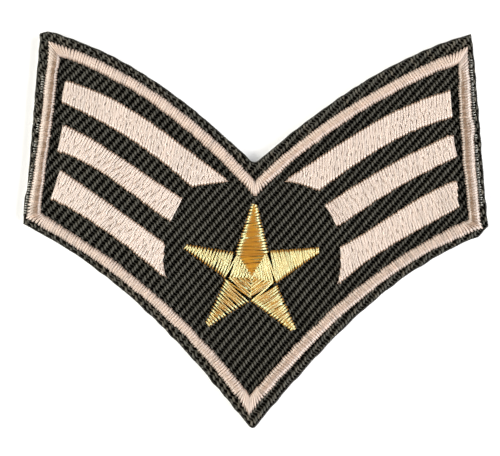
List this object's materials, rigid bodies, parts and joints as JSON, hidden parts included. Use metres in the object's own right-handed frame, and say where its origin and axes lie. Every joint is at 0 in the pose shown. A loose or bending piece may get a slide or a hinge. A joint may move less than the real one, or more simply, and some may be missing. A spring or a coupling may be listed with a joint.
{
  "type": "iron-on patch",
  "caption": "Flat chevron-shaped embroidered twill patch with a raised satin border, raised bars on both wings, a gold star and an adhesive back.",
  "frame": {"origin": "centre of the patch's outline box, on the surface that its back lies on", "axes": "+X across the wings, to the right when the face is up and the point is towards the viewer, +Y from the point to the notch, +Z out of the face"},
  "size_m": [0.0698, 0.0596, 0.0021],
  "materials": {
    "adhesive_film": "dull translucent hot-melt film",
    "twill": "coarse olive-black twill weave",
    "border_thread": "silky rayon satin stitch",
    "bar_thread": "silky rayon satin stitch",
    "gold_thread": "metallic foil thread"
  },
  "bodies": {
    "root": {"iron_on_film": "adhesive_film", "twill_ground": "twill", "border_satin": "border_thread", "bar_left_1": "bar_thread", "bar_left_2": "bar_thread", "bar_left_3": "bar_thread", "bar_right_1": "bar_thread", "bar_right_2": "bar_thread", "bar_right_3": "bar_thread", "star_arm_top": "gold_thread", "star_arm_right": "gold_thread", "star_arm_lower_right": "gold_thread", "star_arm_lower_left": "gold_thread", "star_arm_left": "gold_thread"}
  },
  "joints": []
}
